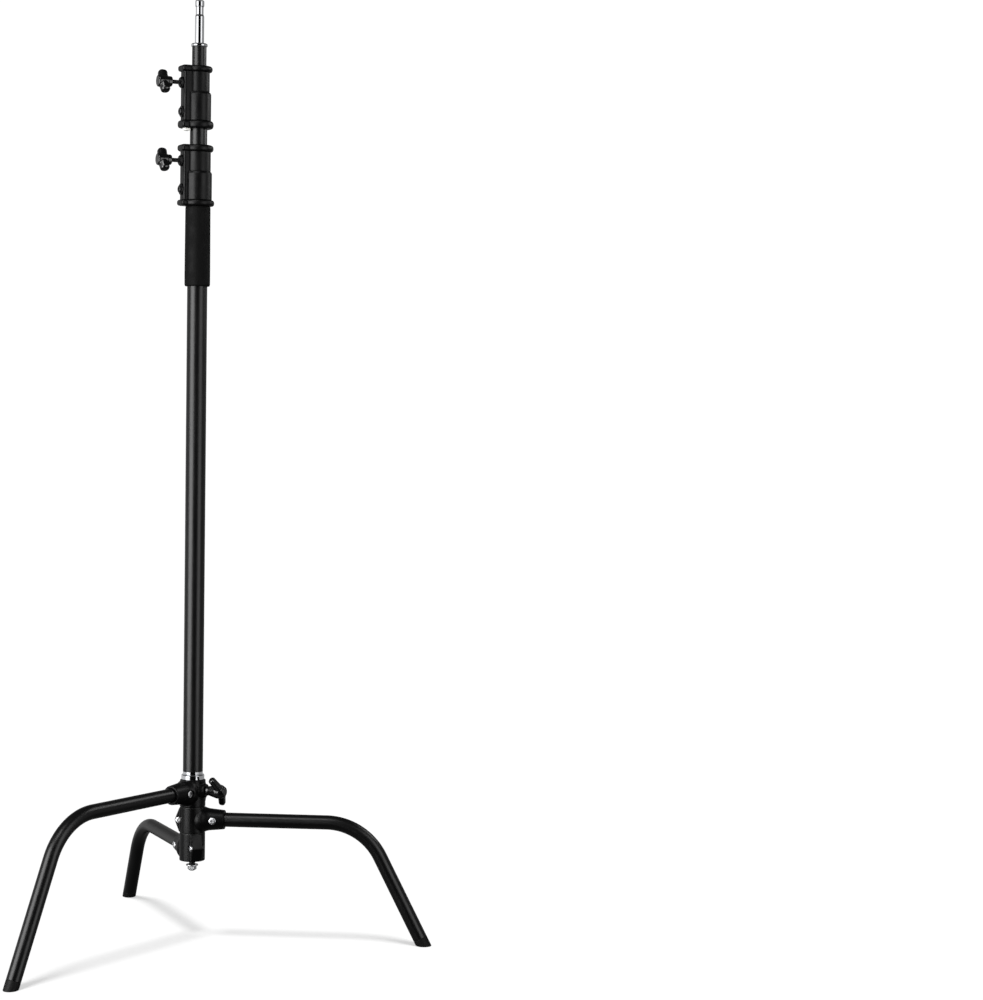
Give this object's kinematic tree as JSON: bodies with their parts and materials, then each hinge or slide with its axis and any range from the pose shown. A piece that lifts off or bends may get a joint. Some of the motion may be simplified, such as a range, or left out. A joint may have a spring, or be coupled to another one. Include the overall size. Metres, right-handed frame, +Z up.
{
  "type": "c-stand",
  "caption": "Steel C-stand for studio lights: swinging bent legs, lift-out column, telescoping risers held by T-knobs, baby spigot on top.",
  "frame": {"origin": "on the floor, on the axis of the column, in the plane of the three feet", "axes": "+Z up along the column towards the spigot; +X along the middle leg; the top leg points to azimuth -120 degrees and the bottom leg to +120 degrees"},
  "size_m": [0.6594, 0.7247, 1.646],
  "materials": {
    "tube_black": "satin black powder coat",
    "casting_black": "fine textured black powder coat on cast aluminium",
    "knob_black": "semi-gloss black enamel on cast aluminium",
    "chrome": "polished chrome plate",
    "zinc_steel": "bright zinc plate",
    "black_steel": "black-oxide steel",
    "foot_rubber": "moulded black rubber",
    "grip_rubber": "dull black foam rubber",
    "nylon_white": "natural nylon",
    "nylon_black": "black nylon",
    "brass": "machined brass"
  },
  "bodies": {
    "base": {"receiver_casting": "casting_black", "top_leg_tube": "tube_black", "top_leg_foot": "foot_rubber", "top_leg_bolt": "zinc_steel", "top_leg_nut": "black_steel", "receiver_lug_bolt": "zinc_steel", "receiver_lug_nut": "black_steel", "hub_post": "black_steel", "post_plug": "zinc_steel", "thrust_washers": "nylon_black", "base_bolt": "black_steel", "base_spacer": "casting_black", "base_nut": "zinc_steel", "base_spring": "zinc_steel", "base_cap": "zinc_steel"},
    "middle_leg": {"middle_casting": "casting_black", "middle_leg_tube": "tube_black", "middle_leg_foot": "foot_rubber", "middle_leg_bolt": "zinc_steel", "middle_leg_nut": "black_steel", "middle_lug_bolt": "zinc_steel", "middle_lug_nut": "black_steel"},
    "bottom_leg": {"bottom_casting": "casting_black", "bottom_leg_tube": "tube_black", "bottom_leg_foot": "foot_rubber", "bottom_leg_bolt": "zinc_steel", "bottom_leg_nut": "black_steel", "bottom_lug_bolt": "zinc_steel", "bottom_lug_nut": "black_steel"},
    "column_slide": {"column_end_plug": "nylon_white"},
    "column": {"column_pin": "chrome", "column_tube": "tube_black", "grip_sleeve": "grip_rubber", "lower_collar": "casting_black", "lower_collar_bush": "nylon_black", "lower_collar_screw": "black_steel", "lower_knob_insert": "casting_black"},
    "middle_slide": {"middle_guide_bush": "nylon_white"},
    "middle_riser": {"middle_tube": "tube_black", "middle_stop_rings": "zinc_steel", "upper_collar": "casting_black", "upper_collar_bush": "nylon_black", "upper_collar_screw": "black_steel", "upper_knob_insert": "casting_black", "collar_wedge": "nylon_white"},
    "top_slide": {"top_guide_bush": "nylon_white"},
    "top_riser": {"top_tube": "tube_black", "top_stop_rings": "zinc_steel", "spigot": "chrome", "spigot_pin": "zinc_steel"},
    "base_brake": {"base_shoe": "brass"},
    "base_clamp": {"base_stud": "black_steel", "base_handle": "knob_black"},
    "lower_brake": {"lower_shoe": "brass"},
    "lower_clamp": {"lower_stud": "black_steel", "lower_knob": "knob_black"},
    "upper_brake": {"upper_shoe": "brass"},
    "upper_clamp": {"upper_stud": "black_steel", "upper_knob": "knob_black"}
  },
  "joints": [
    {"name": "middle_leg_swing", "type": "hinge", "parent": "base", "child": "middle_leg", "pos_m": [0, 0, 0.2138], "axis": [0, 0, 1], "range_deg": [-116, 0]},
    {"name": "bottom_leg_swing", "type": "hinge", "parent": "base", "child": "bottom_leg", "pos_m": [0, 0, 0.1604], "axis": [0, 0, 1], "range_deg": [0, 116]},
    {"name": "column_lift", "type": "slide", "parent": "base", "child": "column_slide", "axis": [0, 0, 1], "range_m": [0, 0.1]},
    {"name": "column_turn", "type": "hinge", "parent": "column_slide", "child": "column", "pos_m": [0, 0, 0.23], "axis": [0, 0, 1], "continuous": true},
    {"name": "middle_riser_lift", "type": "slide", "parent": "column", "child": "middle_slide", "axis": [0, 0, 1], "range_m": [0, 0.79]},
    {"name": "middle_riser_turn", "type": "hinge", "parent": "middle_slide", "child": "middle_riser", "pos_m": [0, 0, 0.6], "axis": [0, 0, 1], "continuous": true},
    {"name": "top_riser_lift", "type": "slide", "parent": "middle_riser", "child": "top_slide", "axis": [0, 0, 1], "range_m": [0, 0.79]},
    {"name": "top_riser_turn", "type": "hinge", "parent": "top_slide", "child": "top_riser", "pos_m": [0, 0, 0.75], "axis": [0, 0, 1], "continuous": true},
    {"name": "base_shoe_slide", "type": "slide", "parent": "base", "child": "base_brake", "axis": [0.9588, -0.284, 0], "range_m": [0, 0.0031]},
    {"name": "base_knob_turn", "type": "hinge", "parent": "base_brake", "child": "base_clamp", "pos_m": [0.03835, -0.01136, 0.266], "axis": [0.9588, -0.284, 0], "range_deg": [0, 720]},
    {"name": "lower_shoe_slide", "type": "slide", "parent": "column", "child": "lower_brake", "axis": [-0.8572, -0.515, 0], "range_m": [0, 0.0031]},
    {"name": "lower_knob_turn", "type": "hinge", "parent": "lower_brake", "child": "lower_clamp", "pos_m": [-0.03429, -0.0206, 1.368], "axis": [-0.8572, -0.515, 0], "range_deg": [0, 720]},
    {"name": "upper_shoe_slide", "type": "slide", "parent": "middle_riser", "child": "upper_brake", "axis": [-0.8572, -0.515, 0], "range_m": [0, 0.0031]},
    {"name": "upper_knob_turn", "type": "hinge", "parent": "upper_brake", "child": "upper_clamp", "pos_m": [-0.03429, -0.0206, 1.5025], "axis": [-0.8572, -0.515, 0], "range_deg": [0, 720]}
  ],
  "couplings": [
    {"joint": "base_shoe_slide", "follows": "base_knob_turn", "m_per_rad": 0.00023873},
    {"joint": "lower_shoe_slide", "follows": "lower_knob_turn", "m_per_rad": 0.00023873},
    {"joint": "upper_shoe_slide", "follows": "upper_knob_turn", "m_per_rad": 0.00023873}
  ]
}
